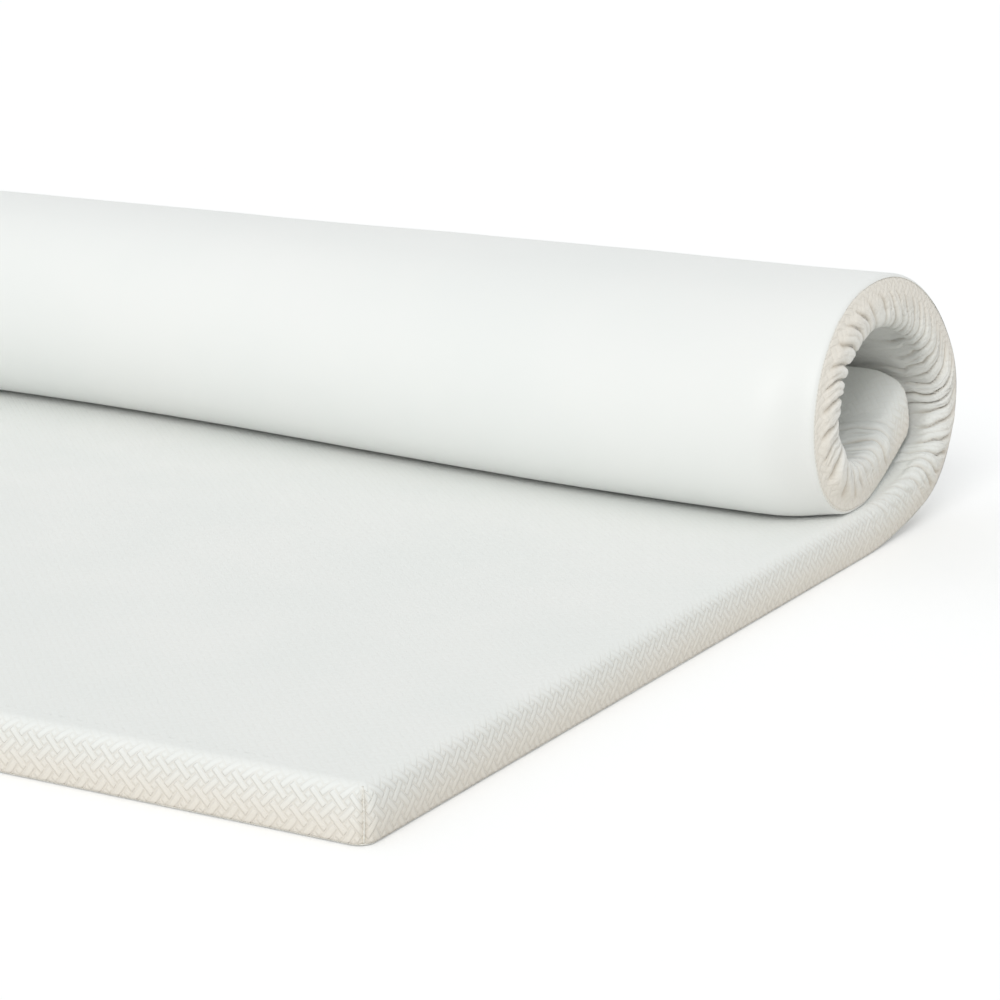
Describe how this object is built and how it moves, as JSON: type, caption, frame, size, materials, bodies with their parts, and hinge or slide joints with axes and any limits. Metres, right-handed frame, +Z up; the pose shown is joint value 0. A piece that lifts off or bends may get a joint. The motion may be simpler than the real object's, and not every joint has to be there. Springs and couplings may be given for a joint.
{
  "type": "mattress topper",
  "caption": "Memory foam mattress topper in a zipped knit cover, lying flat at one end with its far part rolled up over itself.",
  "frame": {"origin": "on the floor, under the middle of the whole topper's bounding box as it lies in the picture", "axes": "+X along the roll, towards the side on the picture's right; +Y from the flat part's free end towards the roll; +Z up"},
  "size_m": [1.4282, 1.2136, 0.2871],
  "materials": {
    "memory_foam": "open-cell foam, matte",
    "jacquard_knit": "thick jacquard knit with a raised basket weave, matte",
    "smooth_knit": "smooth knit with a soft sheen",
    "sewing_thread": "overlocked thread",
    "zip_tape": "woven tape",
    "coil_nylon": "nylon monofilament",
    "slider_metal": "plated die casting"
  },
  "bodies": {
    "topper": {"foam_core": "memory_foam", "cover_top": "jacquard_knit", "cover_bottom": "smooth_knit", "edge_seam": "sewing_thread", "corner_seam_near_right": "sewing_thread", "corner_seam_near_left": "sewing_thread", "corner_seam_far_right": "sewing_thread", "corner_seam_far_left": "sewing_thread", "zip_tape_upper": "zip_tape", "zip_tape_lower": "zip_tape", "zip_coil_upper": "coil_nylon", "zip_coil_lower": "coil_nylon", "zip_bartack_left": "sewing_thread", "zip_bartack_right": "sewing_thread"},
    "slider": {"slider_body": "slider_metal"},
    "pull": {"pull_tab": "slider_metal"}
  },
  "joints": [
    {"name": "zip_slide", "type": "slide", "parent": "topper", "child": "slider", "axis": [1, 0, 0], "range_m": [0, 1.2607]},
    {"name": "pull_tab_hinge", "type": "hinge", "parent": "slider", "child": "pull", "pos_m": [-0.64443, 0.53651, 0.1393], "axis": [0, -0.1603, 0.9871], "range_deg": [0, 175]}
  ]
}
